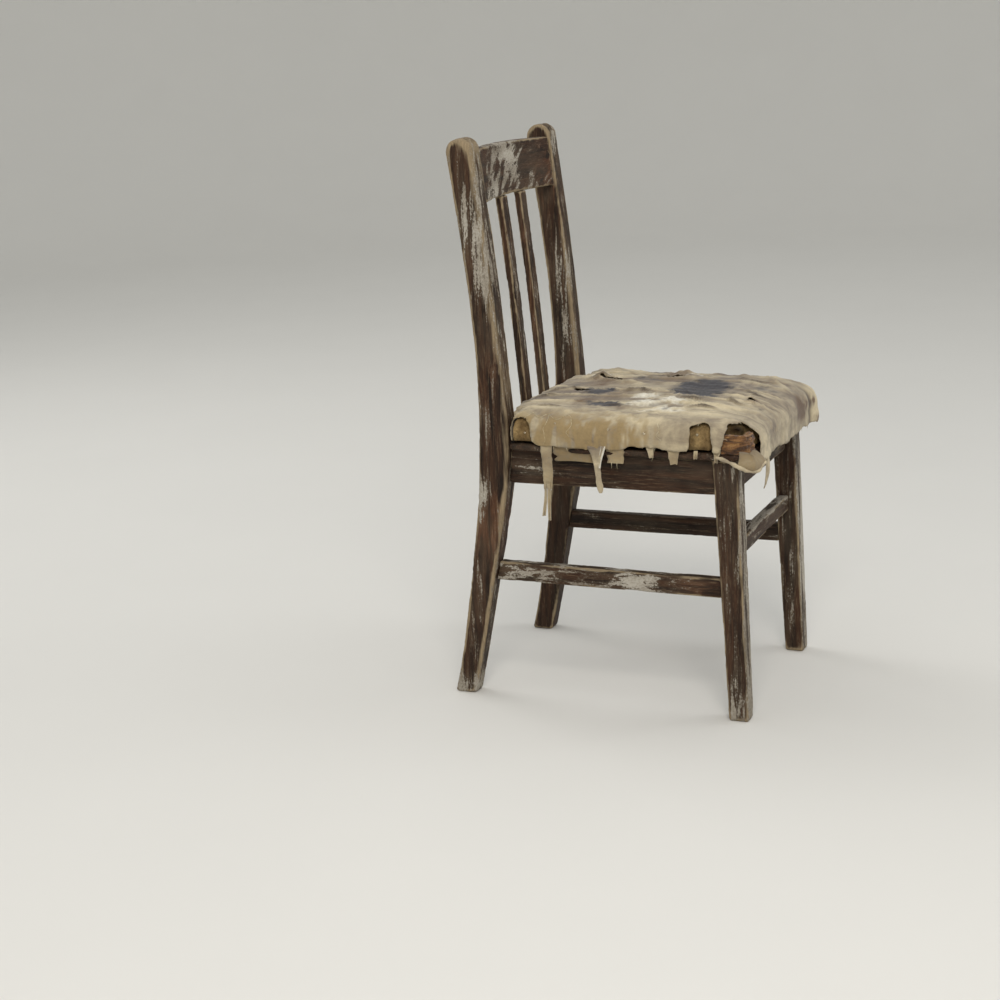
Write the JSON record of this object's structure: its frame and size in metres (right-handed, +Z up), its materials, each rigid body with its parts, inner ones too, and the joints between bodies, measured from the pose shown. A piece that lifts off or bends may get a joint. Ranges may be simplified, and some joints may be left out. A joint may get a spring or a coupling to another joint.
{
  "type": "wooden side chair with torn upholstered seat",
  "caption": "Worn wooden side chair with bent back posts, bowed crest rail, upright slats, stretchers and a torn padded seat.",
  "frame": {"origin": "centre of the outer box, on the floor under the feet", "axes": "+Z up, the chair faces -Y, the sitter's right is -X"},
  "size_m": [0.3976, 0.5032, 0.8679],
  "materials": {
    "post_wood": "dark brown, weathered, grey-white paint remnants, worn tan edges",
    "rail_wood": "dark brown, weathered, flaked grey-white paint",
    "board_wood": "rough unpainted board",
    "padding": "khaki fibre padding",
    "stuffing": "orange-brown layered stuffing",
    "cloth": "torn stained cream cloth"
  },
  "bodies": {
    "root": {"back_post_right": "post_wood", "back_post_left": "post_wood", "front_leg_right": "post_wood", "front_leg_left": "post_wood", "crest_rail": "rail_wood", "back_slat_right": "rail_wood", "back_slat_left": "rail_wood", "side_apron_right": "rail_wood", "side_apron_left": "rail_wood", "front_apron": "rail_wood", "rear_apron": "rail_wood", "side_stretcher_right": "rail_wood", "side_stretcher_left": "rail_wood", "front_stretcher": "rail_wood", "seat_board": "board_wood", "seat_pad": "padding", "corner_wad": "stuffing", "seat_cover": "cloth", "rolled_hem": "cloth"}
  },
  "joints": []
}
